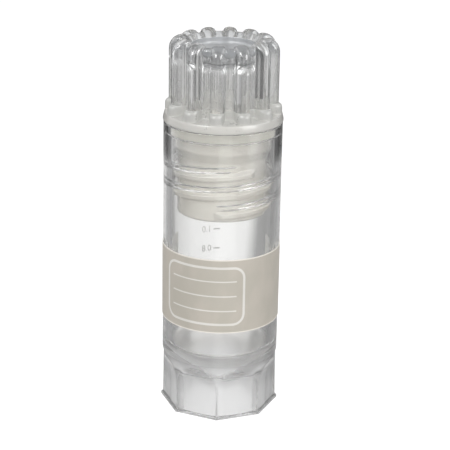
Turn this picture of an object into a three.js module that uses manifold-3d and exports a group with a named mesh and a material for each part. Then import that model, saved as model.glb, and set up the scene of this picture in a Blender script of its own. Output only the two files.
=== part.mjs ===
// A self-standing cryogenic storage vial with an internal-thread screw cap.
// Millimetres, +Z up. The origin is the centre of the foot, on the surface the vial stands on,
// and -Y is the front. The pieces are a moulded tube, its printed marking panel, a sealing
// washer and a moulded cap. Angles are in degrees, counter-clockwise from +X.

import * as THREE from "three";
import { mergeVertices } from "three/addons/utils/BufferGeometryUtils.js";
import Module from "manifold-3d";

const wasm = await Module();
wasm.setup();

const { degToRad } = THREE.MathUtils;
const front = -90; // the direction of -Y
const roundSides = 72; // facets round every turned surface
const threadSides = 40; // facets in one turn of a thread
const ribSides = 12; // facets round a rib's nose, if it were a full post
const ribTopSteps = 5; // facets over a rib's rounded top corner
const ribFootSteps = 3; // facets over the shoulder of a rib's foot
const cutMargin = 1; // how far a cutting shape passes the surface it cuts

// ---- Tube: barrel and cavity
const barrelRadius = 6.25;
const tubeHeight = 31.8; // foot to rim
const cavityWall = 1; // at the foot of the cavity
const floorSlope = 36; // degrees below horizontal, towards the middle
const floorThickness = 1.6; // measured square to the cone
const gateNubRadius = 0.45; // the stub left by the mould's gate, under the floor
const gateNubLength = 0.2;
const gateNubClearance = 1.4; // its end to the bench

// ---- Tube: neck
const neckWall = 0.9;
const neckDepth = 10.05; // rim to the neck's foot, where the cavity's slight draft starts
const mouthWall = 0.75; // round the washer
const mouthDepth = 1.1; // rim to the tapered seat under the washer
const seatLength = 0.4; // the seat draws in to the neck over this height
const rimRounding = 0.1; // outer edge of the rim

// ---- Tube: skirt and foot
const skirtHeight = 6.1;
const skirtStep = 0.13; // the skirt's top stands in from the barrel
const skirtFlare = 0.1; // the skirt widens by this much down to the foot
const skirtSides = 8;
const skirtFlatDepth = 0.38; // how deep a flat cuts into the skirt, at its middle
const skirtFlatDrop = 0.75; // the skirt's top to the tops of its flats
const skirtWall = 0.94; // under a flat
const footOverhang = 0.2; // how far the foot's corners stand out past the skirt
const footThickness = 0.3;

// ---- Marking panel
const panelRise = 4.05; // above the skirt
const panelHeight = 8.25;
const panelWrap = 230; // degrees of the barrel, centred on the front
const panelThickness = 0.04;
const panelGap = 0.02;

// ---- Thread
const threadPitch = 2.05;
const capCrestClearance = 0.1; // radial, the cap's ridge to the neck's wall
const neckCrestClearance = 0.3; // radial, the neck's ridge to the plug
const capRidgeRoot = 1.1; // width along the axis
const capRidgeCrest = 0.4;
const capRidgeEndGap = 0.6; // the ridge's upper end to the smooth part of the plug
const ridgeStart = -99; // both ridges start just left of the front
const capRidgeRise = 0.65; // the plug's end to the middle of the ridge's first turn
const neckRidgeHeight = 0.3;
const neckRidgeRoot = 0.7;
const neckRidgeCrest = 0.3;
const neckRidgeLag = 0.5; // how far it stands above the cap's ridge, as a share of the pitch
const ridgeTaper = 14; // degrees over which a ridge's end fades
const ridgeBite = 0.2; // how far a ridge's root is sunk in its wall

// ---- Sealing washer
const washerThickness = 1.15;
const washerMouthClearance = 0.04; // radial
const washerPlugClearance = 0.05; // radial

// ---- Cap: plug
const plugGap = 0.3; // the plug's end to the neck's foot
const plugWall = 0.9;
const plugEndChamfer = 0.2;
const landClearance = 0.15; // the smooth part of the plug to the neck's wall
const landLength = 2.35; // down from the washer, which sits on its top
const landLeadIn = 0.25;
const plugWaist = 0.4; // how far the plug is cut in for the washer, above the land

// ---- Cap: flange and grip
const flangeOverhang = 0.07; // past the barrel
const flangeThickness = 0.9;
const flangeUndercut = 0.12;
const flangeTaper = 0.14; // it draws in towards its top edge
const flangeTopRise = 0.22; // its top slopes up to the grip
const gripHeight = 7.93; // the flange's outer top edge to the tops of the ribs
const gripInset = 0.47; // the ribs stand in from the barrel
const gripWall = 1.1;
const coreDrop = 0.4; // the core's rim stands below the ribs' tops
const coreRimWidth = 0.45;
const recessRim = 1.15; // the dish in the top stands in from the core
const recessRimDrop = 0.85; // the dish's edge, below the ribs' tops
const recessDepth = 0.7; // the dish's floor, below its edge
const ribCount = 12;
const ribRadius = 0.75; // a rib's round nose, seen from above
const ribReach = 1.2; // past the core
const ribRounding = 1.45; // a rib's top corner
const ribFirstAngle = -95.3;
const ribFootReach = 0.38; // the foot of a rib, past the rib
const ribFootHeight = 1.1;
const ribFootRounding = 0.45;

// ---- Heights and radii that follow from those
const boreRadius = barrelRadius - cavityWall;
const neckRadius = barrelRadius - neckWall;
const neckFoot = tubeHeight - neckDepth;
const slope = Math.tan(degToRad(floorSlope));
const nubRoot = gateNubClearance + gateNubLength;
const floorBottom = nubRoot - gateNubRadius * slope;
const cavityBottom = floorBottom + floorThickness / Math.cos(degToRad(floorSlope));
const cavityFloorEdge = cavityBottom + boreRadius * slope; // the straight wall meets the cone
const skirtTopRadius = barrelRadius - skirtStep;
const skirtFootRadius = skirtTopRadius + skirtFlare;
const flatApothem = skirtTopRadius - skirtFlatDepth;
const flatTop = skirtHeight - skirtFlatDrop;
const hollowRadius = flatApothem - skirtWall;
const panelBottom = skirtHeight + panelRise;
const mouthRadius = barrelRadius - mouthWall;
const washerBottom = tubeHeight - mouthDepth;
const washerTop = washerBottom + washerThickness;
const plugEnd = neckFoot + plugGap;
const plugRadius = neckRadius - neckRidgeHeight - neckCrestClearance;
const plugHollowRadius = plugRadius - plugWall;
const landRadius = neckRadius - landClearance;
const waistRadius = landRadius - plugWaist;
const landBottom = washerBottom - landLength;
const capRidgeHeight = neckRadius - capCrestClearance - plugRadius;
const capRidgeBottom = plugEnd + capRidgeRise;
const capRidgeTop = landBottom - capRidgeEndGap - capRidgeRoot / 2;
const neckRidgeBottom = capRidgeBottom + neckRidgeLag * threadPitch;
const neckRidgeTop = landBottom - neckRidgeRoot / 2;
const flangeRadius = barrelRadius + flangeOverhang;
const flangeEdgeTop = washerTop + flangeThickness;
const flangeTop = flangeEdgeTop + flangeTopRise;
const gripTop = flangeEdgeTop + gripHeight;
const gripRadius = barrelRadius - gripInset;
const gripCoreRadius = gripRadius - ribReach;
const gripHollowRadius = gripCoreRadius - gripWall;
const coreTop = gripTop - coreDrop;
const recessRadius = gripCoreRadius - recessRim;
const recessEdge = gripTop - recessRimDrop;
const recessFloor = recessEdge - recessDepth;
const ribCentre = gripRadius - ribRadius;
const ribFootCentre = ribCentre + ribFootReach;
const ribFootTop = flangeEdgeTop + ribFootHeight;

// ---- Finishes
const clearPlastic = new THREE.MeshStandardMaterial({
  color: 0xd9dbd8,
  roughness: 0.12,
  metalness: 0,
  transparent: true,
  opacity: 0.45,
});
const panelInk = new THREE.MeshStandardMaterial({ color: 0xc5bfb2, roughness: 0.6, metalness: 0 });
const silicone = new THREE.MeshStandardMaterial({ color: 0xcbc6b4, roughness: 0.5, metalness: 0 });

// A closed geometry as a solid that can be joined and cut.
function solidOf(geometry) {
  const bare = geometry.clone();
  bare.deleteAttribute("normal");
  bare.deleteAttribute("uv");
  const merged = mergeVertices(bare, 1e-5);
  return new wasm.Manifold(
    new wasm.Mesh({
      numProp: 3,
      vertProperties: new Float32Array(merged.attributes.position.array),
      triVerts: new Uint32Array(merged.index.array),
    }),
  );
}

function meshOf(name, solid, material) {
  const { vertProperties, triVerts } = solid.getMesh();
  const geometry = new THREE.BufferGeometry();
  geometry.setAttribute("position", new THREE.BufferAttribute(vertProperties, 3));
  geometry.setIndex(new THREE.BufferAttribute(triVerts, 1));
  geometry.computeVertexNormals();
  const mesh = new THREE.Mesh(geometry, material);
  mesh.name = name;
  return mesh;
}

// Turns an outline of [radius, height] pairs round the Z axis. The outline keeps the plastic
// on its left, and it starts and ends on the axis or on the same point.
function turned(outline) {
  const points = outline.map(([radius, height]) => new THREE.Vector2(radius, height));
  return solidOf(new THREE.LatheGeometry(points, roundSides).rotateX(Math.PI / 2));
}

// The rounding between an upright side and a top, as outline points: a quarter of an ellipse
// that ends at the given radius and top.
function roundedCorner(radius, top, width, height, steps) {
  return Array.from({ length: steps + 1 }, (_, i) => {
    const angle = (i / steps) * (Math.PI / 2);
    return [radius + width * Math.cos(angle), top - height + height * Math.sin(angle)];
  });
}

// An upright prism or post, standing on its bottom height.
function post(radius, bottom, top, sides, angle = 0, distance = 0) {
  const geometry = new THREE.CylinderGeometry(radius, radius, top - bottom, sides);
  geometry.rotateX(Math.PI / 2);
  geometry.translate(0, -distance, (bottom + top) / 2);
  geometry.rotateZ(degToRad(angle - front));
  return solidOf(geometry);
}

// A helical ridge that rises counter-clockwise from one height to another. wallRadius is the
// wall it stands on. height is positive for a ridge that points outwards, negative for inwards.
function ridge(wallRadius, height, rootWidth, crestWidth, bottom, top) {
  const turns = (top - bottom) / threadPitch;
  const bite = -Math.sign(height) * ridgeBite;
  const corners = [
    [-rootWidth / 2, bite],
    [rootWidth / 2, bite],
    [rootWidth / 2, 0],
    [crestWidth / 2, height],
    [-crestWidth / 2, height],
    [-rootWidth / 2, 0],
  ];
  const section = new THREE.Shape(corners.map(([x, y]) => new THREE.Vector2(x, y)));
  const steps = Math.round(turns * threadSides);
  const bar = new THREE.ExtrudeGeometry(section, { depth: 1, steps, bevelEnabled: false });
  const position = bar.attributes.position;
  const sweep = turns * 360;
  for (let i = 0; i < position.count; i += 1) {
    const along = position.getZ(i);
    const fromEnd = Math.min(along, 1 - along) * sweep;
    const grown = THREE.MathUtils.smoothstep(fromEnd, 0, ridgeTaper);
    const outward = position.getY(i);
    const radius = wallRadius + (Math.sign(outward) === Math.sign(height) ? outward * grown : outward);
    const angle = degToRad(ridgeStart + along * sweep);
    const z = bottom + along * (top - bottom) + position.getX(i);
    position.setXYZ(i, radius * Math.cos(angle), radius * Math.sin(angle), z);
  }
  return solidOf(bar);
}

// ---- Tube
function barrelAndSkirt() {
  return turned([
    [0, gateNubClearance],
    [gateNubRadius, gateNubClearance],
    [gateNubRadius, nubRoot],
    [hollowRadius, floorBottom + hollowRadius * slope],
    [hollowRadius, 0],
    [skirtFootRadius, 0],
    [skirtTopRadius, skirtHeight],
    [barrelRadius, skirtHeight],
    [barrelRadius, tubeHeight - rimRounding],
    [barrelRadius - rimRounding, tubeHeight],
    [mouthRadius, tubeHeight],
    [mouthRadius, washerBottom],
    [neckRadius, washerBottom - seatLength],
    [neckRadius, neckFoot],
    [boreRadius, cavityFloorEdge],
    [0, cavityBottom],
  ]);
}

// What the eight flats take off the skirt: a collar with an eight-sided hole.
function skirtFlats() {
  const toCorner = 1 / Math.cos(Math.PI / skirtSides);
  const collar = post(2 * barrelRadius, -cutMargin, flatTop, roundSides);
  const core = post(
    flatApothem * toCorner,
    -2 * cutMargin,
    flatTop + cutMargin,
    skirtSides,
    front,
  );
  return collar.subtract(core);
}

function foot() {
  const plate = post(skirtFootRadius + footOverhang, 0, footThickness, skirtSides, front);
  return plate.subtract(post(hollowRadius, -cutMargin, footThickness + cutMargin, roundSides));
}

function neckRidge() {
  return ridge(
    neckRadius,
    -neckRidgeHeight,
    neckRidgeRoot,
    neckRidgeCrest,
    neckRidgeBottom,
    neckRidgeTop,
  );
}

function tube() {
  const body = barrelAndSkirt().subtract(skirtFlats()).add(foot()).add(neckRidge());
  return meshOf("tube", body, clearPlastic);
}

// ---- Marking panel: a thin field of ink round the front of the barrel
function markingPanel() {
  const inner = barrelRadius + panelGap;
  const outer = inner + panelThickness;
  const outline = [
    [outer, panelBottom],
    [outer, panelBottom + panelHeight],
    [inner, panelBottom + panelHeight],
    [inner, panelBottom],
    [outer, panelBottom],
  ];
  const clearAngle = 360 - panelWrap;
  const far = 2 * outer;
  const window = new THREE.Shape();
  window.moveTo(0, 0);
  window.absarc(0, 0, far, degToRad(-front - clearAngle / 2), degToRad(-front + clearAngle / 2));
  window.lineTo(0, 0);
  const wedge = new THREE.ExtrudeGeometry(window, {
    depth: panelHeight + 2 * cutMargin,
    bevelEnabled: false,
    curveSegments: roundSides,
  });
  wedge.translate(0, 0, panelBottom - cutMargin);
  return meshOf("marking_panel", turned(outline).subtract(solidOf(wedge)), panelInk);
}

// ---- Sealing washer: sits round the plug in the tube's mouth, just above the tapered seat
function sealingWasher() {
  const inner = waistRadius + washerPlugClearance;
  const outer = mouthRadius - washerMouthClearance;
  const body = turned([
    [outer, washerBottom],
    [outer, washerTop],
    [inner, washerTop],
    [inner, washerBottom],
    [outer, washerBottom],
  ]);
  return meshOf("sealing_washer", body, silicone);
}

// ---- Cap
function capCore() {
  const hollowTop = recessFloor - gripWall;
  return turned([
    [0, hollowTop],
    [gripHollowRadius, hollowTop],
    [gripHollowRadius, flangeTop],
    [plugHollowRadius, washerTop],
    [plugHollowRadius, plugEnd],
    [plugRadius - plugEndChamfer, plugEnd],
    [plugRadius, plugEnd + plugEndChamfer],
    [plugRadius, landBottom],
    [landRadius, landBottom + landLeadIn],
    [landRadius, washerBottom],
    [waistRadius, washerBottom],
    [waistRadius, washerTop],
    [flangeRadius - flangeUndercut, washerTop],
    [flangeRadius, washerTop + flangeUndercut],
    [flangeRadius - flangeTaper, flangeEdgeTop],
    [gripCoreRadius, flangeTop],
    [gripCoreRadius, coreTop - coreRimWidth],
    [gripCoreRadius - coreRimWidth, coreTop],
    [recessRadius, recessEdge],
    [recessRadius, recessFloor],
    [0, recessFloor],
  ]);
}

// The space that the ribs may fill: a rounded shoulder over the feet, a straight grip, a big
// round at the top, and a slope down to the dish. It starts in the middle of the core's wall.
function gripEnvelope() {
  const rootRadius = gripCoreRadius - gripWall / 2;
  return turned([
    [rootRadius, flangeEdgeTop],
    [flangeRadius - flangeTaper, flangeEdgeTop],
    ...roundedCorner(gripRadius, ribFootTop, ribFootReach, ribFootRounding, ribFootSteps),
    ...roundedCorner(gripRadius - ribRounding, gripTop, ribRounding, ribRounding, ribTopSteps),
    [recessRadius, recessEdge],
    [rootRadius, recessEdge],
    [rootRadius, flangeEdgeTop],
  ]);
}

// One rib: a bar with a round nose, and a foot with the same nose further out.
function rib(angle) {
  const bar = new THREE.BoxGeometry(ribCentre, 2 * ribRadius, gripTop - flangeEdgeTop);
  bar.translate(ribCentre / 2, 0, (gripTop + flangeEdgeTop) / 2);
  bar.rotateZ(degToRad(angle));
  const footBar = new THREE.BoxGeometry(ribFootCentre, 2 * ribRadius, ribFootHeight);
  footBar.translate(ribFootCentre / 2, 0, flangeEdgeTop + ribFootHeight / 2);
  footBar.rotateZ(degToRad(angle));
  const nose = post(ribRadius, flangeEdgeTop, gripTop, ribSides, angle, ribCentre);
  const footNose = post(ribRadius, flangeEdgeTop, ribFootTop, ribSides, angle, ribFootCentre);
  return solidOf(bar).add(solidOf(footBar)).add(nose).add(footNose);
}

function grip() {
  let ribs = rib(ribFirstAngle);
  for (let i = 1; i < ribCount; i += 1) {
    ribs = ribs.add(rib(ribFirstAngle + (i * 360) / ribCount));
  }
  return ribs.intersect(gripEnvelope());
}

function capRidge() {
  return ridge(
    plugRadius,
    capRidgeHeight,
    capRidgeRoot,
    capRidgeCrest,
    capRidgeBottom,
    capRidgeTop,
  );
}

function cap() {
  return meshOf("cap", capCore().add(grip()).add(capRidge()), clearPlastic);
}

const vial = new THREE.Group();
vial.name = "cryovial";
vial.add(tube(), markingPanel(), sealingWasher(), cap());

export default vial;
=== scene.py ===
from math import atan2, ceil, cos, degrees, dist, pi, radians, sin, sqrt, tan

import bmesh
import bpy
from mathutils import Matrix, Vector


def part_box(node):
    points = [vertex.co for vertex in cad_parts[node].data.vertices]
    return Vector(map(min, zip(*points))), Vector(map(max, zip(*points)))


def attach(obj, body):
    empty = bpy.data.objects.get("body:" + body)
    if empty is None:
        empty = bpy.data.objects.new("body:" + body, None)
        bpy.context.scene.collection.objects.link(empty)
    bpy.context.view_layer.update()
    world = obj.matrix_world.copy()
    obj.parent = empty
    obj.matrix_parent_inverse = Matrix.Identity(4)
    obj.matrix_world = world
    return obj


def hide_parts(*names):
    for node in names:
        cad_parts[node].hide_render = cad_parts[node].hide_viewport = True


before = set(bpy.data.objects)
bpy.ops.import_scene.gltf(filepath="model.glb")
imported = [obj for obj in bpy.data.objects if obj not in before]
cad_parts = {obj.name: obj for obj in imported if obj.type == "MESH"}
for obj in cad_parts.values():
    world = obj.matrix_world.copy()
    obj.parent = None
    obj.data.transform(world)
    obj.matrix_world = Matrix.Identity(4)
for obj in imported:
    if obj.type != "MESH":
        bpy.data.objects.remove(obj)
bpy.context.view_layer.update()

mm = 0.001
scene = bpy.context.scene

# Heights and radii that every piece shares, read from the frame.
washerLow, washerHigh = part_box("sealing_washer")
capLow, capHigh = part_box("cap")
panelLow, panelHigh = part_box("marking_panel")
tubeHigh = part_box("tube")[1]
barrelRadius = capHigh.x - 0.07 * mm
seatHeight = washerHigh.z  # the washer's top, where the flange starts
front = -90.0  # degrees
sharpAngle = radians(40)
samePlace = 1e-7  # points this close are one point

thread = {
    "pitch": 2.05 * mm,
    "start": -99.0,  # degrees, just left of the front
    "taper": 14.0,  # degrees over which an end fades
    "softness": 0.4,  # how round the flanks are
    "rowStep": 0.05 * mm,
}


def smoothStep(value):
    value = min(max(value, 0.0), 1.0)
    return value * value * (3 - 2 * value)


def newObject(name, data):
    made = bpy.data.objects.new(name, data)
    scene.collection.objects.link(made)
    return made


camera = {
    "aim": Vector((0, 0, 20 * mm)),
    "distance": 168.4 * mm,
    "elevation": 19.51,
    "turn": 1.8,  # degrees towards +X
    "roll": 0.985,
    "shiftRight": 0.384 * mm,
    "shiftUp": 0.058 * mm,
    "lens": 125.76,
    "sensor": 36,
    "clip": (0.01, 10),
}


def makeCamera():
    tilt = radians(camera["elevation"])
    back = Vector((0, -cos(tilt), sin(tilt)))
    right = Vector((1, 0, 0))
    up = back.cross(right)
    roll = radians(camera["roll"])
    rolledRight = cos(roll) * right + sin(roll) * up
    rolledUp = -sin(roll) * right + cos(roll) * up
    place = camera["aim"] + back * camera["distance"]
    place += right * camera["shiftRight"] + up * camera["shiftUp"]
    facing = Matrix((rolledRight, rolledUp, back)).transposed().to_4x4()
    data = bpy.data.cameras.new("camera")
    data.lens = camera["lens"]
    data.sensor_width = camera["sensor"]
    data.clip_start, data.clip_end = camera["clip"]
    made = newObject("camera", data)
    made.matrix_world = Matrix.Rotation(radians(camera["turn"]), 4, "Z") @ Matrix.Translation(place) @ facing
    scene.camera = made


makeCamera()
print("camera ready")


def softened(corners, steps=4, support=0.05 * mm):
    # corners are (radius, height, rounding), some with a tag for the points after them
    points = []
    last = len(corners) - 1
    tag = ""
    for i, (radius, height, rounding, *tags) in enumerate(corners):
        here = Vector((radius, height))
        before, tag = tag, tags[0] if tags else ""
        if rounding <= 0 or i in (0, last):
            points.append((radius, height, tag))
            continue
        back = Vector(corners[i - 1][:2]) - here
        ahead = Vector(corners[i + 1][:2]) - here
        half = back.angle(ahead) / 2
        reach = min(rounding / tan(half), 0.45 * back.length, 0.45 * ahead.length)
        rounded = reach * tan(half)
        back.normalize()
        ahead.normalize()
        middle = here + (back + ahead).normalized() * (rounded / sin(half))
        first, final = here + back * reach, here + ahead * reach
        lead = first + back * support
        points.append((lead.x, lead.y, before))
        for step in range(steps + 1):
            share = step / steps
            arm = (first - middle).normalized().slerp((final - middle).normalized(), share)
            point = middle + arm * rounded
            points.append((point.x, point.y, before if share < 0.5 else tag))
        tail = final + ahead * support
        points.append((tail.x, tail.y, tag))
    return points


def withRows(points, tag, step):
    # adds rows at an even step along the stretch that carries the tag
    rows = []
    for here, after in zip(points, points[1:]):
        rows.append(here)
        if here[2] == tag:
            count = int(dist(here[:2], after[:2]) / step)
            for k in range(1, count + 1):
                share = k / (count + 1)
                rows.append((*(a + (b - a) * share for a, b in zip(here[:2], after[:2])), tag))
    rows.append(points[-1])
    return rows


def evenAngles(count):
    return [2 * pi * k / count for k in range(count)]


def turnedMesh(name, rows, angles, place=None, closed=False):
    # sweeps rows of (radius, height, tag) round the axis; a row at radius 0 is one point
    made = bmesh.new()
    rings = []
    for radius, height, tag in rows:
        if radius < samePlace:
            rings.append([made.verts.new((0, 0, height))])
            continue
        ring = []
        for angle in angles:
            r, z = place(radius, height, tag, angle) if place else (radius, height)
            ring.append(made.verts.new((r * cos(angle), r * sin(angle), z)))
        rings.append(ring)
    after = rings[1:] + (rings[:1] if closed else [])
    count = len(angles)
    for low, high in zip(rings, after):
        for k in range(count):
            n = (k + 1) % count
            if len(low) == 1:
                made.faces.new((low[0], high[n], high[k]))
            elif len(high) == 1:
                made.faces.new((low[k], low[n], high[0]))
            else:
                made.faces.new((low[k], low[n], high[n], high[k]))
    return finishedMesh(name, made)


def rawMesh(name, made):
    piece = newObject(name, bpy.data.meshes.new(name))
    made.to_mesh(piece.data)
    made.free()
    return piece


def finishedMesh(name, made):
    bmesh.ops.remove_doubles(made, verts=made.verts, dist=samePlace)
    bmesh.ops.recalc_face_normals(made, faces=made.faces)
    piece = rawMesh(name, made)
    piece.data.shade_smooth()
    return piece


def bandMesh(name, sections, looped=False):
    # a strip through four-cornered sections; its ends are capped unless it is looped
    made = bmesh.new()
    rings = [[made.verts.new(point) for point in section] for section in sections]
    for here, after in zip(rings, rings[1:]):
        for k in range(4):
            n = (k + 1) % 4
            made.faces.new((here[k], after[k], after[n], here[n]))
    if not looped:
        made.faces.new(rings[0])
        made.faces.new(rings[-1][::-1])
    return finishedMesh(name, made)


def joined(name, parts, near):
    # one mesh from several pieces, welded where their points meet
    made = bmesh.new()
    for part in parts:
        mesh = part.data
        made.from_mesh(mesh)
        bpy.data.objects.remove(part)
        bpy.data.meshes.remove(mesh)
    bmesh.ops.remove_doubles(made, verts=made.verts, dist=near)
    return finishedMesh(name, made)


def coatedBy(piece, finishes, pick):
    # gives each face one of the finishes by its centre
    piece.data.materials.clear()
    for finish in finishes:
        piece.data.materials.append(finish)
    for face in piece.data.polygons:
        face.material_index = pick(face.center)


def ridgeAt(ridge, angle, height):
    # how far a helical ridge stands off its wall at this angle and height
    turns = (ridge["top"] - ridge["bottom"]) / thread["pitch"]
    share = ((degrees(angle) - thread["start"]) % 360) / 360
    best = 0.0
    while share <= turns:
        offset = abs(height - ridge["bottom"] - share * thread["pitch"])
        flank = (ridge["root"] / 2 - offset) / ((ridge["root"] - ridge["crest"]) / 2)
        flank = min(max(flank, 0.0), 1.0)
        flank = (1 - thread["softness"]) * flank + thread["softness"] * smoothStep(flank)
        fromEnd = min(share, turns - share) * 360
        best = max(best, flank * smoothStep(fromEnd / thread["taper"]))
        share += 1
    return best * ridge["height"]


def feed(tree, inputs, values):
    # links each input to a node's first output or a socket, or sets it to a plain value
    for key, value in values.items():
        if isinstance(value, bpy.types.Node):
            value = value.outputs[0]
        if isinstance(value, bpy.types.NodeSocket):
            tree.links.new(value, inputs[key])
        else:
            inputs[key].default_value = value


def wired(tree, kind, values=None, **settings):
    node = tree.nodes.new(kind)
    for name, value in settings.items():
        setattr(node, name, value)
    feed(tree, node.inputs, values or {})
    return node


def mapped(tree, source, low, high, first=0, last=1):
    # a soft remap from low..high to first..last
    values = dict(enumerate((source, low, high, first, last)))
    return wired(tree, "ShaderNodeMapRange", values, interpolation_type="SMOOTHSTEP").outputs[0]


def combined(tree, operation, *values):
    return wired(tree, "ShaderNodeMath", dict(enumerate(values)), operation=operation).outputs[0]


def product(tree, first, second):
    return combined(tree, "MULTIPLY", first, second)


geometry = [("Geometry", "Geometry")]


def floats(*labels):
    return [(label, "Float") for label in labels]


def newTree(name, kind, inputs, outputs):
    # a node tree with named sockets, each a label and a kind
    tree = bpy.data.node_groups.new(name, kind + "NodeTree")
    for way, sockets in (("INPUT", inputs), ("OUTPUT", outputs)):
        for label, socketKind in sockets:
            tree.interface.new_socket(label, in_out=way, socket_type="NodeSocket" + socketKind)
    return tree, tree.nodes.new("NodeGroupInput").outputs, tree.nodes.new("NodeGroupOutput").inputs


def axesOf(tree, vector):
    return wired(tree, "ShaderNodeSeparateXYZ", {0: vector}).outputs


def applyTree(piece, tree, values):
    # sets the tree's inputs, turns the result into a plain mesh and drops the modifier
    modifier = piece.modifiers.new("pattern", "NODES")
    modifier.node_group = tree
    for item in tree.interface.items_tree:
        if item.item_type == "SOCKET" and item.in_out == "INPUT" and item.name in values:
            modifier[item.identifier] = values[item.name]
    graph = bpy.context.evaluated_depsgraph_get()
    mesh = bpy.data.meshes.new_from_object(piece.evaluated_get(graph), depsgraph=graph)
    piece.modifiers.remove(modifier)
    old = piece.data
    piece.data = mesh
    bpy.data.meshes.remove(old)
    mesh.name = piece.name


tube = {
    "columns": 240,
    "boreRadius": 5.25 * mm,  # at the foot of the cavity
    "mouthRadius": 5.5 * mm,
    "seatLength": 0.12 * mm,  # the tapered seat under the washer
    "neckRadius": 5.35 * mm,
    "neckFoot": 21.75 * mm,
    "cavityEdge": 7.065 * mm,
    "cavityBottom": 3.251 * mm,
    "skirtHeight": 6.1 * mm,
    "skirtTopRadius": 6.12 * mm,
    "skirtFootRadius": 6.22 * mm,
    "hollowRadius": 4.8 * mm,
    "ceilingEdge": 4.76 * mm,
    "nubRadius": 0.45 * mm,
    "nubRoot": 1.6 * mm,
    "nubEnd": 1.4 * mm,
    "footThickness": 0.3 * mm,
    "flatTop": 5.35 * mm,
    "flatFull": 3.3 * mm,  # below this height the flats are at full depth
    "flatApothem": 5.74 * mm,
    "sides": 8,
    "footEdge": (6.28 * mm, 0.5 * mm),  # points farther out and lower are the foot's edge
    "flatEdge": 5.5 * mm,  # points farther out are the skirt's outside
    "skirtRows": 0.18 * mm,
}
neckRidge = {
    "bottom": 23.725 * mm,
    "top": 28.0 * mm,
    "root": 0.7 * mm,
    "crest": 0.3 * mm,
    "height": 0.3 * mm,
}


def sideAngle(angle):
    # the angle from the middle of the nearest flat
    width = 2 * pi / tube["sides"]
    return (angle - radians(front)) % width - width / 2


def tubePlace(radius, height, tag, angle):
    if tag == "neck":
        return radius - ridgeAt(neckRidge, angle, height), height
    if radius > tube["footEdge"][0] and height < tube["footEdge"][1]:
        corner = cos(pi / tube["sides"])
        return radius * corner / cos(sideAngle(angle)), height
    if radius > tube["flatEdge"] and height < tube["flatTop"]:
        rise = max(0.0, height - tube["flatFull"]) / (tube["flatTop"] - tube["flatFull"])
        ease = 1 - sqrt(max(0.0, 1 - rise * rise))
        apothem = tube["flatApothem"] + (tube["skirtTopRadius"] - tube["flatApothem"]) * ease
        return min(radius, apothem / cos(sideAngle(angle))), height
    return radius, height


def makeTube():
    corners = [
        (0, tube["nubEnd"], 0),
        (tube["nubRadius"], tube["nubEnd"], 0.08 * mm),
        (tube["nubRadius"], tube["nubRoot"], 0.05 * mm),
        (tube["hollowRadius"], tube["ceilingEdge"], 0.35 * mm),
        (tube["hollowRadius"], 0, 0.06 * mm),
        (tubeHigh.x, 0, 0.05 * mm),
        (tubeHigh.x, tube["footThickness"], 0.05 * mm),
        (tube["skirtFootRadius"], tube["footThickness"], 0.08 * mm, "skirt"),
        (tube["skirtTopRadius"], tube["skirtHeight"], 0.05 * mm),
        (barrelRadius, tube["skirtHeight"], 0.05 * mm),
        (barrelRadius, tubeHigh.z, 0.1 * mm),
        (tube["mouthRadius"], tubeHigh.z, 0.05 * mm),
        (tube["mouthRadius"], washerLow.z, 0.05 * mm),
        (tube["neckRadius"], washerLow.z - tube["seatLength"], 0.05 * mm, "neck"),
        (tube["neckRadius"], tube["neckFoot"], 0),
        (tube["boreRadius"], tube["cavityEdge"], 0.9 * mm),
        (0, tube["cavityBottom"], 0),
    ]
    rows = withRows(softened(corners), "neck", thread["rowStep"])
    rows = withRows(rows, "skirt", tube["skirtRows"])
    return turnedMesh("tubeBody", rows, evenAngles(tube["columns"]), tubePlace)


cap = {
    "ribs": 12,
    "firstRib": -95.3,
    "noseRadius": 0.75 * mm,
    "noseCentre": 5.03 * mm,
    "noseTurns": (0, 14, 28, 42, 56, 70, 82, 90),
    "coreRadius": 4.58 * mm,
    "grooveRounding": 0.22 * mm,
    "grooveShares": (0.0, 0.33, 0.66, 1.0),
    "footReach": 0.38 * mm,
    "footTop": 33.85 * mm,
    "footShoulder": 0.45 * mm,
    "shoulderTurns": (0, 20, 40, 60, 80, 90),
    "footFillet": 0.15 * mm,
    "filletTurns": (25, 50, 75, 90),
    "floorShares": (0.0, 0.4, 0.8, 1.0),  # points from the flange's edge to the fillet
    "flangeRadius": 6.32 * mm,
    # the lists of pairs are steps in mm, outwards and up, from the corner that they round
    "flangeRound": [(-0.22, 0), (-0.12, 0.01), (-0.035, 0.05), (-0.003, 0.13), (-0.01, 0.25)],
    "flangeShoulder": [(0.015, -0.16), (-0.01, -0.08)],
    "flangeEdgeRadius": 6.18 * mm,
    "flangeEdgeTop": 32.75 * mm,
    "flangeTop": 32.97 * mm,
    "topRounding": 1.45 * mm,
    "coreTop": 40.28 * mm,
    "coreRounding": 0.45 * mm,
    "coreLip": [(3.98, -0.04), (3.86, -0.1)],  # from the axis
    "ribLip": [(-0.12, -0.05), (-0.25, -0.17)],
    "roundSteps": 12,
    "gripRow": 36.5 * mm,  # one row of points between the foot and the top
    "dishRadius": 3.43 * mm,
    "dishEdge": 39.83 * mm,
    "dishFloor": 39.13 * mm,
    "dishLip": [(0.06, 0.02), (0.012, -0.02), (0, -0.08)],
    "dishFoot": [(-0.01, 0.3), (-0.05, 0.14), (-0.14, 0.04), (-0.28, 0)],
    "dishInner": 2.401 * mm,
    "hollowRadius": 3.48 * mm,
    "hollowTop": 38.5 * mm,
    "hollowRounding": 1.1 * mm,
    "plugHollowRadius": 3.85 * mm,
    "plugRadius": 4.75 * mm,
    "plugChamfer": 0.2 * mm,
    "landRadius": 5.2 * mm,
    "waistRadius": 4.8 * mm,  # inside the washer
    "landBottom": 28.35 * mm,
    "landLeadIn": 1.1 * mm,
    "landRounding": 1.0 * mm,
}
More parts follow.
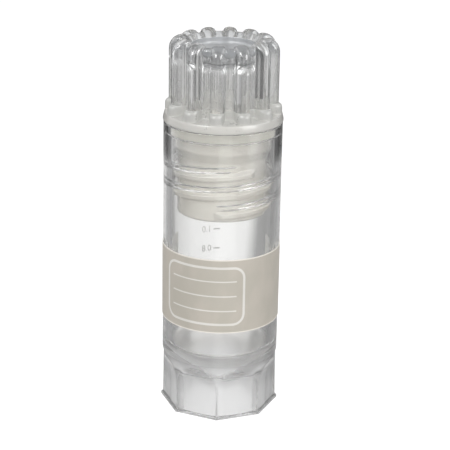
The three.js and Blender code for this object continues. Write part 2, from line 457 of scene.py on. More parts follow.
capRidge = {
    "bottom": 22.78 * mm,
    "top": 27.20 * mm,
    "root": 1.05 * mm,
    "crest": 0.4 * mm,
    "height": 0.5 * mm,
}


def stepped(corner, steps):
    return [(corner[0] + out * mm, corner[1] + up * mm) for out, up in steps]


def grooveCentre():
    # the middle of the round that joins a rib's side to the core
    side = cap["noseRadius"] + cap["grooveRounding"]
    far = sqrt((cap["coreRadius"] + cap["grooveRounding"]) ** 2 - side**2)
    return Vector((far, side))


def ribAngles():
    # angles from a rib's middle to a groove's, closer together where the wall bends
    nose, centre = cap["noseRadius"], cap["noseCentre"]
    turns = [radians(turn) for turn in cap["noseTurns"]]
    angles = [atan2(nose * sin(turn), centre + nose * cos(turn)) for turn in turns]
    groove = grooveCentre()
    toFlank, toCore = -90.0, degrees(atan2(-groove.y, -groove.x))
    for share in cap["grooveShares"]:
        turn = radians(toFlank + (toCore - toFlank) * share)
        point = groove + cap["grooveRounding"] * Vector((cos(turn), sin(turn)))
        angles.append(atan2(point.y, point.x))
    angles.append(pi / cap["ribs"])
    return angles


def ribRadiusAt(offset, centre):
    # the radius of the ribbed wall at an angle from a rib's middle
    offset = abs(offset)
    nose, rounding = cap["noseRadius"], cap["grooveRounding"]
    if offset < atan2(nose, centre):
        side = centre * sin(offset)
        return centre * cos(offset) + sqrt(max(0.0, nose * nose - side * side))
    groove = grooveCentre()
    if offset < atan2(nose, groove.x):
        return nose / sin(offset)
    if offset < atan2(groove.y, groove.x):
        along = groove.x * cos(offset) + groove.y * sin(offset)
        inside = along * along - groove.length_squared + rounding * rounding
        return along - sqrt(max(0.0, inside))
    return cap["coreRadius"]


def ribProfile():
    # from the grip's straight wall over the rib's top to the dish's edge
    top, rounding = capHigh.z, cap["topRounding"]
    middle = (cap["noseCentre"] + cap["noseRadius"] - rounding, top - rounding)
    points = []
    for k in range(cap["roundSteps"] + 1):
        turn = radians(90 * k / cap["roundSteps"])
        points.append((middle[0] + rounding * cos(turn), middle[1] + rounding * sin(turn)))
    points += stepped((middle[0], top), cap["ribLip"])
    points.append((cap["dishRadius"] + 0.2 * mm, cap["dishEdge"] + 0.2 * mm))
    return points


def coreProfile():
    radius, top, rounding = cap["coreRadius"], cap["coreTop"], cap["coreRounding"]
    bottom = capHigh.z - cap["topRounding"]
    straight = top - rounding - bottom
    points = []
    for k in range(cap["roundSteps"] + 1):
        along = k / cap["roundSteps"] * (straight + rounding * pi / 2)
        if along < straight:
            points.append((radius, bottom + along))
        else:
            turn = (along - straight) / rounding
            inward = rounding * (1 - cos(turn))
            points.append((radius - inward, top - rounding + rounding * sin(turn)))
    points += stepped((0, top), cap["coreLip"])
    points.append((cap["dishRadius"] + 0.14 * mm, cap["dishEdge"] + 0.1 * mm))
    return points


def capColumn(offset):
    # one upright line of the grip at an angle from a rib's middle, from the washer's seat to the dish
    wall = ribRadiusAt(offset, cap["noseCentre"])
    foot = ribRadiusAt(offset, cap["noseCentre"] + cap["footReach"])
    share = (wall - cap["coreRadius"]) / (cap["noseCentre"] + cap["noseRadius"] - cap["coreRadius"])
    edge, edgeTop = cap["flangeEdgeRadius"], cap["flangeEdgeTop"]
    fillet = max(min(cap["footFillet"], 0.7 * (edge - 0.06 * mm - foot)), 0.004 * mm)
    root = foot + fillet
    column = [(cap["waistRadius"], seatHeight)]
    column += stepped((cap["flangeRadius"], seatHeight), cap["flangeRound"])
    column += stepped((edge, edgeTop), cap["flangeShoulder"])
    column.append((max(edge - 0.05 * mm, root + 0.008 * mm), edgeTop - 0.02 * mm))
    slope = (cap["flangeTop"] - edgeTop) / (edge - cap["coreRadius"])
    start = max(edge - 0.09 * mm, root + 0.004 * mm)
    for floorShare in cap["floorShares"]:
        radius = start + (root - start) * floorShare
        column.append((radius, edgeTop + slope * (start - radius)))
    floor = column[-1][1]
    for turn in cap["filletTurns"]:
        turned = radians(turn)
        column.append((root - fillet * sin(turned), floor + fillet * (1 - cos(turned))))
    shoulder = cap["footTop"] - cap["footShoulder"]
    column += [(foot, floor + cap["footFillet"] + 0.06 * mm), (foot, shoulder - 0.05 * mm)]
    for turn in cap["shoulderTurns"]:
        spread = cap["footReach"] * cos(radians(turn))
        height = shoulder + cap["footShoulder"] * sin(radians(turn))
        column.append((ribRadiusAt(offset, cap["noseCentre"] + spread), height))
    rows = (cap["footTop"] + 0.06 * mm, cap["gripRow"], capHigh.z - cap["topRounding"] - 0.06 * mm)
    column += [(wall, height) for height in rows]
    for (ribR, ribZ), (coreR, coreZ) in zip(ribProfile(), coreProfile()):
        column.append((coreR + (ribR - coreR) * share, coreZ + (ribZ - coreZ) * share))
    column += stepped((cap["dishRadius"], cap["dishEdge"]), cap["dishLip"])
    column += stepped((cap["dishRadius"], cap["dishFloor"]), cap["dishFoot"])
    column.append((cap["dishInner"], cap["dishFloor"]))
    return column


def ribOffsets():
    half = ribAngles()
    return [-a for a in reversed(half[1:])] + half


def gripSector():
    # one rib with half a groove at each side, as a strip of the cap's surface
    made = bmesh.new()
    lines = []
    for offset in ribOffsets():
        angle = radians(cap["firstRib"]) + offset
        lines.append([made.verts.new((r * cos(angle), r * sin(angle), z)) for r, z in capColumn(offset)])
    pole = made.verts.new((0, 0, cap["dishFloor"]))
    for left, right in zip(lines, lines[1:]):
        for k in range(len(left) - 1):
            made.faces.new((left[k], right[k], right[k + 1], left[k + 1]))
        made.faces.new((left[-1], right[-1], pole))
    return rawMesh("gripSector", made)


def roundRepeatTree():
    # repeats the incoming strip evenly round the axis and welds the copies
    inputs = geometry + [("Count", "Int"), ("Weld", "Float"), ("Finish", "Material")]
    tree, given, result = newTree("roundRepeat", "Geometry", inputs, geometry)
    number = wired(tree, "GeometryNodeInputIndex").outputs[0]
    turn = product(tree, number, combined(tree, "DIVIDE", 2 * pi, given["Count"]))
    place = wired(tree, "GeometryNodeInstanceOnPoints", {
        "Points": wired(tree, "GeometryNodePoints", {"Count": given["Count"]}),
        "Instance": given["Geometry"],
        "Rotation": wired(tree, "ShaderNodeCombineXYZ", {"Z": turn})})
    real = wired(tree, "GeometryNodeRealizeInstances", {0: place})
    weld = wired(tree, "GeometryNodeMergeByDistance", {0: real, "Distance": given["Weld"]})
    coat = wired(tree, "GeometryNodeSetMaterial", {"Geometry": weld, "Material": given["Finish"]})
    feed(tree, result, {0: coat})
    return tree


def plugPlace(radius, height, tag, angle):
    if tag == "thread":
        return radius + ridgeAt(capRidge, angle, height), height
    return radius, height


def makePlug():
    # the plug and the cap's hollow: an open sleeve that ends where the grip's strip starts
    plug = cap["plugRadius"]
    corners = [
        (0, cap["hollowTop"], 0),
        (cap["hollowRadius"], cap["hollowTop"], cap["hollowRounding"]),
        (cap["hollowRadius"], cap["flangeTop"], 0.1 * mm),
        (cap["plugHollowRadius"], seatHeight, 0.1 * mm),
        (cap["plugHollowRadius"], capLow.z, 0.15 * mm),
        (plug - cap["plugChamfer"], capLow.z, 0.08 * mm),
        (plug, capLow.z + cap["plugChamfer"], 0.08 * mm, "thread"),
        (plug, cap["landBottom"], cap["landRounding"]),
        (cap["landRadius"], cap["landBottom"] + cap["landLeadIn"], cap["landRounding"]),
        (cap["landRadius"], washerLow.z, 0.05 * mm),
        (cap["waistRadius"], washerLow.z, 0.05 * mm),
        (cap["waistRadius"], seatHeight, 0),
    ]
    rows = withRows(softened(corners), "thread", thread["rowStep"])
    middles = [radians(cap["firstRib"]) + turn for turn in evenAngles(cap["ribs"])]
    angles = [middle + offset for middle in middles for offset in ribOffsets()[:-1]]
    return turnedMesh("plug", rows, angles, plugPlace)


def makeCap(finish):
    grip = gripSector()
    applyTree(grip, roundRepeatTree(), {"Count": cap["ribs"], "Weld": samePlace, "Finish": finish})
    return joined("capBody", [grip, makePlug()], 10 * samePlace)


washer = {
    "columns": 160,
    "innerRadius": 4.85 * mm,
    "rounding": 0.1 * mm,
    "squeeze": 0.03 * mm,  # how far it beds into the flange and the plug's shoulder
}


def makeWasher():
    inner, outer, soft = washer["innerRadius"], washerHigh.x, washer["rounding"]
    low, high = washerLow.z - washer["squeeze"], washerHigh.z + washer["squeeze"]
    middle = (inner + outer) / 2
    corners = [
        (middle, low, 0),
        (outer, low, soft),
        (outer, high, soft),
        (inner, high, soft),
        (inner, low, soft),
        (middle, low, 0),
    ]
    return turnedMesh("washer", softened(corners)[:-1], evenAngles(washer["columns"]), closed=True)


panel = {
    "wrap": 230.0,
    "columns": 160,
    "innerRadius": 6.27 * mm,
    "outerRadius": 6.31 * mm,
}


def filmSide(centre):
    # the printed face, or the print's back, which shows through the barrel; the back is painted paler, as
    # painted light coming through the ink
    return int(centre.xy.length < panel["innerRadius"] + 0.01 * mm)


def makePanel():
    # a thin closed film on the barrel
    inner, outer = panel["innerRadius"], panel["outerRadius"]
    corners = [(outer, panelLow.z), (outer, panelHigh.z), (inner, panelHigh.z), (inner, panelLow.z)]
    sections = []
    for k in range(panel["columns"] + 1):
        angle = radians(front - panel["wrap"] / 2 + panel["wrap"] * k / panel["columns"])
        sections.append([(radius * cos(angle), radius * sin(angle), height) for radius, height in corners])
    piece = bandMesh("panelPrint", sections)
    piece.data.set_sharp_from_angle(angle=sharpAngle)
    return piece


marks = {
    "thickness": 0.02 * mm,
    "spacing": 0.35 * mm,  # between the points of a long mark
    "onPanel": 6.305 * mm,
    "onBarrel": 6.255 * mm,
}
field = {
    "middle": -106.0,
    "low": 11.0 * mm,
    "width": 9.3 * mm,
    "height": 6.6 * mm,
    "corner": 1.3 * mm,
    "stroke": 0.26 * mm,
    "lines": 3,
    "lineLength": 7.4 * mm,
    "lineWidth": 0.14 * mm,
}
graduation = {
    "middle": 104.5,
    "first": 0.4,  # millilitres
    "step": 0.2,
    "count": 5,
    "floorVolume": 0.07,  # what the cavity's rounded floor holds
    "perMm": 0.0882,  # millilitres in a millimetre of the cavity's height
    "tickLength": 0.8 * mm,
    "tickWidth": 0.14 * mm,
    "digitSize": 1.05 * mm,
    "digitShift": -0.16 * mm,
}


def fillHeight(volume):
    return tube["cavityEdge"] + (volume - graduation["floorVolume"]) / graduation["perMm"] * mm


def filledIn(pairs):
    # adds evenly spaced pairs where two neighbours lie far apart
    full = []
    for (near, far), (nextNear, nextFar) in zip(pairs, pairs[1:]):
        parts = max(1, ceil((nextNear - near).length / marks["spacing"]))
        for k in range(parts):
            full.append((near.lerp(nextNear, k / parts), far.lerp(nextFar, k / parts)))
    return full + [pairs[-1]]


def flatBand(name, pairs):
    # a thin flat mark between pairs of points, closed where the last pair meets the first
    top = marks["thickness"]
    sections = [[(point.x, point.y, z) for point, z in ((near, 0), (near, top), (far, top), (far, 0))]
                for near, far in pairs]
    return bandMesh(name, sections, looped=(pairs[0][0] - pairs[-1][0]).length < samePlace)


def flatBar(name, length, width):
    rise = Vector((0, width / 2))
    ends = [Vector((-length / 2, 0)), Vector((length / 2, 0))]
    return flatBand(name, filledIn([(end - rise, end + rise) for end in ends]))


def roundedFrame(name, width, height, corner, stroke, steps=8):
    pairs = []
    for quarter, (right, up) in enumerate(((1, 1), (-1, 1), (-1, -1), (1, -1))):
        centre = Vector((right * (width / 2 - corner), up * (height / 2 - corner)))
        for step in range(steps + 1):
            turn = radians(90 * quarter + 90 * step / steps)
            arm = Vector((cos(turn), sin(turn)))
            pairs.append((centre + arm * (corner - stroke), centre + arm * corner))
    return flatBand(name, filledIn(pairs + pairs[:1]))


def flatText(name, words, size):
    data = bpy.data.curves.new(name, "FONT")
    data.body = words
    data.size = size
    data.align_x, data.align_y = "LEFT", "CENTER"
    data.resolution_u = 3
    data.extrude = marks["thickness"] / 2
    written = newObject(name, data)
    graph = bpy.context.evaluated_depsgraph_get()
    mesh = bpy.data.meshes.new_from_object(written.evaluated_get(graph), depsgraph=graph)
    mesh.transform(Matrix.Translation((0, 0, marks["thickness"] / 2)))
    bpy.data.objects.remove(written)
    bpy.data.curves.remove(data)
    return newObject(name, mesh)


def bentRowsTree():
    # repeats a flat mark up the barrel at an even step and bends the rows round it
    inputs = geometry + [("Count", "Int"), ("Finish", "Material")]
    inputs += floats("Step", "Low", "Shift", "Radius", "Azimuth")
    tree, given, result = newTree("bentRows", "Geometry", inputs, geometry)
    points = wired(tree, "GeometryNodeMeshLine", {
        "Count": given["Count"],
        "Start Location": wired(tree, "ShaderNodeCombineXYZ", {"X": given["Shift"], "Y": given["Low"]}),
        "Offset": wired(tree, "ShaderNodeCombineXYZ", {"Y": given["Step"]})})
    place = wired(tree, "GeometryNodeInstanceOnPoints", {"Points": points, "Instance": given["Geometry"]})
    real = wired(tree, "GeometryNodeRealizeInstances", {0: place})
    flat = axesOf(tree, wired(tree, "GeometryNodeInputPosition"))
    turn = combined(tree, "DIVIDE", flat["X"], given["Radius"])
    angle = combined(tree, "ADD", given["Azimuth"], turn)
    radius = combined(tree, "ADD", given["Radius"], flat["Z"])
    bent = wired(tree, "ShaderNodeCombineXYZ", {
        "X": product(tree, radius, combined(tree, "COSINE", angle)),
        "Y": product(tree, radius, combined(tree, "SINE", angle)),
        "Z": flat["Y"]})
    moved = wired(tree, "GeometryNodeSetPosition", {"Geometry": real, "Position": bent})
    coat = wired(tree, "GeometryNodeSetMaterial", {"Geometry": moved, "Material": given["Finish"]})
    feed(tree, result, {0: coat})
    return tree


def printedMarks(name, parts, finish):
    piece = joined(name, parts, samePlace)
    coatedBy(piece, [finish], lambda centre: 0)
    piece.data.set_sharp_from_angle(angle=sharpAngle)
    return piece


def makeField(tree, finish):
    centre = field["low"] + field["height"] / 2
    rowGap = field["height"] / (field["lines"] + 1)
    common = {"Radius": marks["onPanel"], "Azimuth": radians(field["middle"]), "Finish": finish}
    frameBand = roundedFrame("fieldFrame", field["width"], field["height"], field["corner"], field["stroke"])
    applyTree(frameBand, tree, {**common, "Count": 1, "Low": centre})
    line = flatBar("writingLine", field["lineLength"], field["lineWidth"])
    applyTree(line, tree, {**common, "Count": field["lines"], "Step": rowGap, "Low": field["low"] + rowGap})
    return printedMarks("writingField", [frameBand, line], finish)


def makeGraduation(tree, finish):
    common = {"Radius": marks["onBarrel"], "Azimuth": radians(graduation["middle"]), "Finish": finish}
    rowGap = graduation["step"] / graduation["perMm"] * mm
    tick = flatBar("tick", graduation["tickLength"], graduation["tickWidth"])
    applyTree(tick, tree, {**common, "Count": graduation["count"], "Step": rowGap,
                           "Shift": -graduation["tickLength"], "Low": fillHeight(graduation["first"])})
    parts = [tick]
    for k in range(graduation["count"]):
        volume = graduation["first"] + k * graduation["step"]
        digits = flatText(f"digits{k}", f"{volume:.1f}", graduation["digitSize"])
        applyTree(digits, tree, {**common, "Count": 1, "Shift": graduation["digitShift"],
                                 "Low": fillHeight(volume)})
        parts.append(digits)
    return printedMarks("graduationMarks", parts, finish)


def objectPlace(tree):
    return wired(tree, "ShaderNodeTexCoord").outputs["Object"]


def stretchedNoise(tree, stretch, detail):
    # stretch is how many features there are to a metre along x, y and z
    spread = wired(tree, "ShaderNodeVectorMath", {0: objectPlace(tree), 1: stretch}, operation="MULTIPLY")
    return wired(tree, "ShaderNodeTexNoise", {"Vector": spread, "Scale": 1, "Detail": detail}).outputs[0]


def mouldedSkinGroup():
    # moulded plastic: flow ripples, fine grain, and a haze that rises between two heights, whose mask also
    # places painted shade on some clear finishes
    inputs = floats("Roughness", "Haze", "Haze From", "Haze To", "Ripple", "Grain")
    outputs = floats("Roughness", "Height", "Haze")
    tree, given, result = newTree("mouldedSkin", "Shader", inputs, outputs)
    haze = mapped(tree, axesOf(tree, objectPlace(tree))["Z"], given["Haze From"], given["Haze To"])
    flow = stretchedNoise(tree, (330, 330, 90), 2)
    grain = stretchedNoise(tree, (5200, 5200, 5200), 3)
    base = mapped(tree, haze, 0, 1, given["Roughness"], given["Haze"])
    patch = product(tree, base, combined(tree, "MULTIPLY_ADD", flow, 0.5, 0.75))
    half = product(tree, given["Grain"], -0.5)
    swing = combined(tree, "MULTIPLY_ADD", grain, given["Grain"], half)
    swing = product(tree, swing, base)
    ripple = product(tree, flow, given["Ripple"])
    fine = product(tree, grain, haze)
    feed(tree, result, {
        "Roughness": combined(tree, "MAXIMUM", combined(tree, "ADD", patch, swing), 0),
        "Height": combined(tree, "MULTIPLY_ADD", fine, 0.02, ripple),
        "Haze": haze})
    return tree


def edgeWearAndShadeGroup():
    # a mask along sharp outer corners, broken up by noise: rubbed edges on most parts, and painted shade
    # lines along the foot's corners
    inputs = floats("Sharpness", "Spread", "Amount")
    tree, given, result = newTree("edgeWearAndShade", "Shader", inputs, floats("Mask"))
    shape = wired(tree, "ShaderNodeNewGeometry").outputs["Pointiness"]
    top = combined(tree, "ADD", given["Sharpness"], given["Spread"])
    edge = mapped(tree, shape, given["Sharpness"], top)
    broken = mapped(tree, stretchedNoise(tree, (600, 600, 600), 2), 0.35, 0.65, 0.3, 1)
    wearAndShade = product(tree, edge, broken)
    feed(tree, result, {"Mask": product(tree, wearAndShade, given["Amount"])})
    return tree


def specksGroup():
    # scattered fine marks, such as dust in ink or specks in rubber
    inputs = floats("Per Metre", "Size", "Amount")
    tree, given, result = newTree("specks", "Shader", inputs, floats("Mask"))
    values = {"Vector": objectPlace(tree), "Scale": given["Per Metre"]}
    cells = wired(tree, "ShaderNodeTexVoronoi", values).outputs
    dot = mapped(tree, cells["Distance"], 0, given["Size"], 1, 0)
    some = mapped(tree, stretchedNoise(tree, (900, 900, 900), 2), 0.48, 0.6)
    dots = product(tree, dot, some)
    feed(tree, result, {"Mask": product(tree, dots, given["Amount"])})
    return tree


mouldedSkin = mouldedSkinGroup()
edgeWearAndShade = edgeWearAndShadeGroup()
specks = specksGroup()


def newMaterial(name):
    material = bpy.data.materials.new(name)
    material.use_nodes = True
    tree = material.node_tree
    tree.nodes.clear()
    shader = wired(tree, "ShaderNodeBsdfPrincipled")
    wired(tree, "ShaderNodeOutputMaterial", {0: shader})
    return material, tree, shader


def placed(tree, group, values):
    return wired(tree, "ShaderNodeGroup", values, node_tree=group).outputs


def mixedColour(tree, mask, first, second):
    first, second = [(*colour, 1) if isinstance(colour, tuple) else colour for colour in (first, second)]
    return wired(tree, "ShaderNodeMix", {0: mask, 6: first, 7: second}, data_type="RGBA").outputs[2]


def bumped(tree, height, distance):
    return wired(tree, "ShaderNodeBump", {"Distance": distance, "Height": height})


def skinOf(roughness, ripple, grain, haze=None, between=(0, 1)):
    # values for the moulded skin; the roughness goes over to haze between two heights in mm
    return {
        "Roughness": roughness,
        "Haze": roughness if haze is None else haze,
        "Haze From": between[0] * mm,
        "Haze To": between[1] * mm,
        "Ripple": ripple,
        "Grain": grain,
    }


# what the clear finishes share, unless one of them says otherwise
clearFinish = {
    "ior": 1.49,
    "edgeBlend": 0.35,
    "shadow": (0.93, 0.93, 0.93, 1),
    "coat": 0.0,
    "coatRoughness": 0.03,
    "wornRoughness": 0.25,
    "rippleDepth": 0.0015 * mm,
    "wearAndShadeLines": {"Sharpness": 0.6, "Spread": 0.15, "Amount": 0.3},
}
# In each clear finish the edge colour is painted shade, taken on where the surface is seen edge on.
tubeClear = {
    "colour": (0.985, 0.985, 0.98),
    "edge": (0.52, 0.52, 0.515),
    "wearAndShade": (0.93, 0.93, 0.92),
    "transmission": 0.98,
    "skin": skinOf(0.03, ripple=0.5, grain=0.25, haze=0.12, between=(14, 9)),
}
footClear = {
    "colour": (0.99, 0.99, 0.99),
    "edge": (0.06, 0.06, 0.06),
    "edgeBlend": 0.68,  # painted shade: the side faces are darker than the front ones
    "wearAndShade": (0.35, 0.35, 0.35),
    "wearAndShadeLines": {"Sharpness": 0.508, "Spread": 0.022, "Amount": 1.0},  # painted shade: dark lines along the corners
    "transmission": 0.86,
    "coat": 0.6,
    "skin": skinOf(0.16, ripple=0.7, grain=0.3, between=(6, 5)),
}
skirtClear = {
    "colour": (0.96, 0.945, 0.92),  # the cavity's floor
    "edge": (0.6, 0.59, 0.57),
    "darkerBand": (0.80, 0.80, 0.80),  # painted shade in the hollow under it
    "wearAndShade": (0.95, 0.95, 0.95),
    "transmission": 0.8,
    "skin": skinOf(0.4, ripple=0.7, grain=0.3, between=(5.8, 4.6)),
}
plugMilky = {
    "colour": (0.79, 0.77, 0.72),
    "edge": (0.42, 0.42, 0.415),
    "darkerBand": (0.69, 0.67, 0.62),  # darker towards its lower end
    "wearAndShade": (0.75, 0.75, 0.74),
    "transmission": 0.5,
    "coat": 1.0,
    "skin": skinOf(0.2, ripple=0.4, grain=0.2, between=(27.5, 25)),
}
gripClear = {
    "colour": (0.94, 0.94, 0.935),
    "edge": (0.42, 0.43, 0.435),
    "darkerBand": (0.60, 0.61, 0.62),  # painted shade on the ribs' rounded tops
    "wearAndShade": (0.93, 0.93, 0.93),
    "transmission": 0.92,
    "coat": 0.9,
    "skin": skinOf(0.04, ripple=0.8, grain=0.3, haze=0.16, between=(38.2, 40)),
}
dishSatin = {
    # painted shade: the dish is a darker grey than the grip round it
    "colour": (0.51, 0.525, 0.545),
    "edge": (0.44, 0.45, 0.46),
    "wearAndShade": (0.7, 0.7, 0.7),
    "transmission": 0.4,
    "coat": 0.5,
    "skin": skinOf(0.35, ripple=0.8, grain=0.3, between=(39, 39.2)),
}
flangeMilky = {
    "colour": (0.63, 0.62, 0.59),
    "edge": (0.57, 0.56, 0.54),
    "darkerBand": (0.53, 0.53, 0.51),  # painted shade on its upper face, round the ribs' feet
    "wearAndShade": (0.7, 0.7, 0.68),
    "transmission": 0.18,
    "coat": 0.5,
    "skin": skinOf(0.3, ripple=0.8, grain=0.3, between=(32.6, 33.1)),
}


def makeClear(name, finish):
    # plastic with painted shade that makes it greyer where it is seen edge on, and that throws a pale shadow
    finish = {**clearFinish, **finish}
    material, tree, shader = newMaterial(name)
    skin = placed(tree, mouldedSkin, finish["skin"])
    # rubbed edges, and on the foot painted shade lines along its corners
    wearAndShade = placed(tree, edgeWearAndShade, finish["wearAndShadeLines"])["Mask"]
    # painted shade: the colour goes over to the finish's edge colour where the surface is seen edge on
    facing = wired(tree, "ShaderNodeLayerWeight", {"Blend": finish["edgeBlend"]}).outputs["Facing"]
    shadedColour = mixedColour(tree, facing, finish["colour"], finish["edge"])
    # a darker colour over a band of height, which is painted shade on the grip, the flange and the skirt
    if "darkerBand" in finish:
        shadedColour = mixedColour(tree, skin["Haze"], shadedColour, finish["darkerBand"])
    feed(tree, shader.inputs, {
        "Base Color": mixedColour(tree, wearAndShade, shadedColour, finish["wearAndShade"]),
        "Roughness": combined(tree, "MULTIPLY_ADD", wearAndShade, finish["wornRoughness"], skin["Roughness"]),
        "Normal": bumped(tree, skin["Height"], finish["rippleDepth"]),
        "Metallic": 0,
        "IOR": finish["ior"],
        "Transmission Weight": finish["transmission"],
        "Coat Weight": finish["coat"],
        "Coat Roughness": finish["coatRoughness"],
        "Coat IOR": finish["ior"]})
    shadow = wired(tree, "ShaderNodeLightPath").outputs["Is Shadow Ray"]
    clear = wired(tree, "ShaderNodeBsdfTransparent", {0: finish["shadow"]})
    choice = wired(tree, "ShaderNodeMixShader", {0: shadow, 1: shader, 2: clear})
    feed(tree, tree.get_output_node("ALL").inputs, {0: choice})
    return material


silicone = {
    "colour": (0.49, 0.48, 0.435),
    "shade": (0.455, 0.445, 0.40),
    "rubbed": (0.53, 0.52, 0.49),
    "grainDepth": 0.01 * mm,
    "skin": skinOf(0.42, ripple=0.6, grain=0.4),
    "wearAndShadeLines": {"Sharpness": 0.54, "Spread": 0.1, "Amount": 0.6},
    "dots": {"Per Metre": 4200, "Size": 0.3, "Amount": 0.35},
}


def makeSilicone():
    material, tree, shader = newMaterial("creamSilicone")
    skin = placed(tree, mouldedSkin, silicone["skin"])
    wearAndShade = placed(tree, edgeWearAndShade, silicone["wearAndShadeLines"])["Mask"]
    dots = placed(tree, specks, silicone["dots"])["Mask"]
    body = mixedColour(tree, dots, silicone["colour"], silicone["shade"])
    feed(tree, shader.inputs, {
        "Base Color": mixedColour(tree, wearAndShade, body, silicone["rubbed"]),
        "Roughness": skin["Roughness"],
        "Normal": bumped(tree, skin["Height"], silicone["grainDepth"])})
    return material


ink = {
    "beige": (0.53, 0.49, 0.43),
    "beigeCloud": (0.49, 0.46, 0.40),
    "white": (0.76, 0.74, 0.70),
    "whiteCloud": (0.71, 0.69, 0.65),
    "grey": (0.48, 0.47, 0.46),
    "greyCloud": (0.54, 0.53, 0.52),
    # painted light: the print's back is paler than its face, standing in for light coming through the ink
    "under": (0.86, 0.85, 0.82),
    "underCloud": (0.8, 0.79, 0.76),
    "pinhole": (0.66, 0.64, 0.60),
    "paintedEdgeHighlight": (0.84, 0.80, 0.74),
    "edgeWidth": 0.12 * mm,
    "grainDepth": 0.01 * mm,
    "coat": 0.25,
    "coatRoughness": 0.2,
    "skin": skinOf(0.5, ripple=0.4, grain=0.5),
    "dots": {"Per Metre": 5200, "Size": 0.22, "Amount": 0.45},
}


def makeInk(name, tone, edged=False):
    # screen-printed ink: cloudy, with pinholes and a rough surface, and with a painted highlight along the
    # panel's edges
    material, tree, shader = newMaterial(name)
    skin = placed(tree, mouldedSkin, ink["skin"])
    dots = placed(tree, specks, ink["dots"])["Mask"]
    cloudy = mapped(tree, stretchedNoise(tree, (420, 420, 260), 3), 0.35, 0.65)
    body = mixedColour(tree, cloudy, ink[tone], ink[tone + "Cloud"])
    body = mixedColour(tree, dots, body, ink["pinhole"])
    # painted highlight: a pale line just inside the panel's top and bottom edges
    if edged:
        height = axesOf(tree, objectPlace(tree))["Z"]
        near, far = 0.6 * ink["edgeWidth"], 1.4 * ink["edgeWidth"]
        upper = mapped(tree, height, panelHigh.z - far, panelHigh.z - near)
        lower = mapped(tree, height, panelLow.z + near, panelLow.z + far, 1, 0)
        body = mixedColour(tree, combined(tree, "MAXIMUM", upper, lower), body, ink["paintedEdgeHighlight"])
    rough = combined(tree, "MULTIPLY_ADD", dots, -0.5, skin["Height"])
    feed(tree, shader.inputs, {
        "Base Color": body,
        "Roughness": skin["Roughness"],
        "Normal": bumped(tree, rough, ink["grainDepth"]),
        "Coat Weight": ink["coat"],
        "Coat Roughness": ink["coatRoughness"]})
    return material


# What gloss and clear plastic see of the room: tones by azimuth from the white sheet's middle,
# in degrees, which repeat on the other side of the table.
studio = {
    "sheetMiddle": -10.3,  # degrees from +Y towards +X
    "nearTones": [(-90, 0.2), (-70, 0.28), (-50, 0.4), (-22, 0.42), (-16, 1.0),
                  (16, 1.0), (22, 0.42), (50, 0.4), (70, 0.28), (90, 0.2)],
    "farTones": [(-90, 0.28), (-72, 0.35), (-64, 1.0), (-48, 1.0), (-42, 0.12), (-36, 0.04), (-12, 0.04),
                 (-8, 0.5), (12, 0.6), (18, 0.05), (55, 0.05), (62, 0.4), (75, 0.5), (90, 0.28)],
    "spot": (8 * mm, 16 * mm),  # the bright paper round the foot fades between these distances
    "sheet": (87 * mm, 97 * mm),  # and the sheet's near part between these
    "paper": (0.35, 0.35, 0.35, 1),
    "floorReach": 3.0,
    "floorDrop": 0.02 * mm,
    "floorSeen": 0.85,  # the floor and the room as the camera sees them
    "roomSeen": 1.0,
    "ceiling": 0.62,
    "ceilingStart": 0.5,
    "box": (0.5, 0.75),  # a soft box over each side starts and is full at these sideways shares
    "boxTone": 2.2,
    "plain": 0.36,  # what everything else gets from the room
    "lampSize": 0.25,
    "lamps": {"keyLamp": ((-0.25, -0.35, 0.35), 1.6), "fillLamp": ((0.35, -0.25, 0.20), 1.0)},  # place, power
}


def sheetTone():
    # brightness of the room by azimuth, close to the vial and far from it
    outputs = floats("Near", "Far")
    tree, given, result = newTree("sheetTone", "Shader", [("Direction", "Vector")], outputs)
    axes = axesOf(tree, given["Direction"])
    around = combined(tree, "ARCTAN2", axes["X"], axes["Y"])
    turned = combined(tree, "SUBTRACT", around, radians(studio["sheetMiddle"]))
    folded = combined(tree, "ARCTANGENT", combined(tree, "TANGENT", turned))
    share = combined(tree, "MULTIPLY_ADD", folded, 1 / pi, 0.5)
    for label, tones in (("Near", studio["nearTones"]), ("Far", studio["farTones"])):
        ramp = wired(tree, "ShaderNodeValToRGB", {0: share})
        stops = ramp.color_ramp.elements
        while len(stops) < len(tones):
            stops.new(0.5)
        for stop, (angle, tone) in zip(stops, tones):
            stop.position = angle / 180 + 0.5
            stop.color = (tone, tone, tone, 1)
        feed(tree, result, {label: ramp})
    return tree


def roomLight(tree, seen, cameraTone):
    # gloss and clear plastic get the seen tone, the camera its own, and all else the plain one
    path = wired(tree, "ShaderNodeLightPath").outputs
    clearRay = combined(tree, "MAXIMUM", path["Is Glossy Ray"], path["Is Transmission Ray"])
    strength = mapped(tree, clearRay, 0, 1, studio["plain"], seen)
    return clearRay, mapped(tree, path["Is Camera Ray"], 0, 1, strength, cameraTone)


def makeWorld(sheets):
    world = bpy.data.worlds.new("studio")
    scene.world = world
    world.use_nodes = True
    tree = world.node_tree
    tree.nodes.clear()
    where = wired(tree, "ShaderNodeTexCoord").outputs["Generated"]
    room = placed(tree, sheets, {"Direction": where})
    axes = axesOf(tree, where)
    sideways = combined(tree, "ABSOLUTE", axes["X"])
    above = mapped(tree, sideways, *studio["box"], studio["ceiling"], studio["boxTone"])
    seen = mapped(tree, axes["Z"], 0, studio["ceilingStart"], room["Far"], above)
    clearRay, strength = roomLight(tree, seen, studio["roomSeen"])
    light = wired(tree, "ShaderNodeBackground", {"Color": (1, 1, 1, 1), "Strength": strength})
    wired(tree, "ShaderNodeOutputWorld", {0: light})


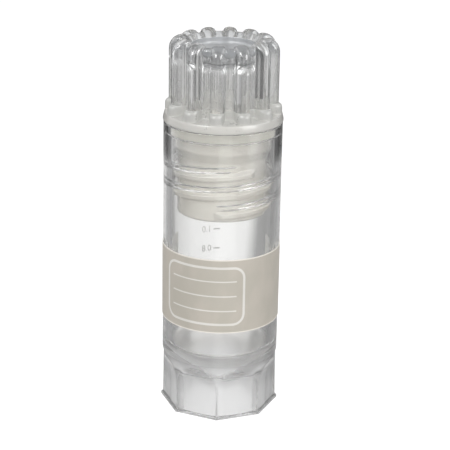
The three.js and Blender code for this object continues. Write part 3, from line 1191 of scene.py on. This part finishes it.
def makeFloor(sheets):
    reach = studio["floorReach"]
    corners = ((-reach, -reach, 0), (reach, -reach, 0), (reach, reach, 0), (-reach, reach, 0))
    floor = newObject("floor", bpy.data.meshes.new("floor"))
    floor.data.from_pydata(corners, [], [(0, 1, 2, 3)])
    floor.location.z = -studio["floorDrop"]
    material, tree, shader = newMaterial("floorPaper")
    tree.nodes.remove(shader)
    where = objectPlace(tree)
    room = placed(tree, sheets, {"Direction": where})
    distance = wired(tree, "ShaderNodeVectorMath", {0: where}, operation="LENGTH").outputs["Value"]
    near = mapped(tree, distance, *studio["spot"], 1, room["Near"])
    seen = mapped(tree, distance, *studio["sheet"], near, room["Far"])
    clearRay, strength = roomLight(tree, seen, studio["floorSeen"])
    paper = wired(tree, "ShaderNodeBsdfDiffuse", {0: studio["paper"]})
    glow = wired(tree, "ShaderNodeEmission", {"Strength": strength})
    both = wired(tree, "ShaderNodeAddShader", {0: paper, 1: glow})
    # gloss and clear plastic see the sheet's own tone, and all else the paper with its shadow
    choice = wired(tree, "ShaderNodeMixShader", {0: clearRay, 1: both, 2: glow})
    feed(tree, tree.get_output_node("ALL").inputs, {0: choice})
    floor.data.materials.append(material)


def makeLamps():
    for name, (place, power) in studio["lamps"].items():
        data = bpy.data.lights.new(name, "AREA")
        data.size = studio["lampSize"]
        data.energy = power
        lamp = newObject(name, data)
        lamp.location = place
        lamp.rotation_euler = (camera["aim"] - lamp.location).to_track_quat("-Z", "Y").to_euler()


tubeBody = makeTube()


def tubeZone(centre):
    # polished barrel, the matt insides of the foot and the cavity's floor, or the foot's flats
    radius, height = centre.xy.length, centre.z
    inside = radius < tube["hollowRadius"] + 0.02 * mm and height < tube["ceilingEdge"] + 0.1 * mm
    floor = radius < tube["boreRadius"] + 0.02 * mm and height < tube["cavityEdge"] + 0.3 * mm
    if inside or floor:
        return 1
    return 2 if height < tube["skirtHeight"] - 0.02 * mm else 0


coatedBy(tubeBody, [
    makeClear("clearTube", tubeClear),
    makeClear("mattSkirt", skirtClear),
    makeClear("clearFoot", footClear)], tubeZone)
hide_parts("tube")
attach(tubeBody, "vial")
print("tube made", len(tubeBody.data.polygons))

capFinishes = [
    makeClear("milkyPlug", plugMilky),
    makeClear("milkyFlange", flangeMilky),
    makeClear("clearGrip", gripClear),
    makeClear("satinDish", dishSatin)]
capBody = makeCap(capFinishes[2])


def capZone(centre):
    # plug, flange with the ribs' feet, grip, or the dish in its top
    radius, height = centre.xy.length, centre.z
    if height < seatHeight - 0.01 * mm:
        return 0
    if radius < cap["plugHollowRadius"] and height < cap["hollowTop"] + 0.01 * mm:
        return 2
    if height < cap["footTop"] + 0.05 * mm:
        return 1
    return 3 if radius < cap["dishRadius"] + 0.01 * mm else 2


coatedBy(capBody, capFinishes, capZone)
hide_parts("cap")
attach(capBody, "cap")
print("cap made", len(capBody.data.polygons))

washerRing = makeWasher()
washerRing.data.materials.append(makeSilicone())
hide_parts("sealing_washer")
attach(washerRing, "washer")

panelPrint = makePanel()
coatedBy(panelPrint, [makeInk("beigeInk", "beige", edged=True), makeInk("inkBackPaintedLight", "under")], filmSide)
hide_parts("marking_panel")
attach(panelPrint, "vial")
print("washer and panel made")

bentRows = bentRowsTree()
writingField = makeField(bentRows, makeInk("whiteInk", "white"))
graduationMarks = makeGraduation(bentRows, makeInk("greyInk", "grey"))
for printed in (writingField, graduationMarks):
    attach(printed, "vial")
print("marks made", len(writingField.data.polygons), len(graduationMarks.data.polygons))

sheets = sheetTone()
makeWorld(sheets)
makeFloor(sheets)
makeLamps()
print("studio made")

scene.view_settings.view_transform = "Standard"
scene.cycles.max_bounces = 32
scene.cycles.transmission_bounces = 28
scene.cycles.glossy_bounces = 14
scene.cycles.transparent_max_bounces = 32
scene.cycles.sample_clamp_indirect = 4
scene.cycles.caustics_reflective = False
scene.cycles.caustics_refractive = True
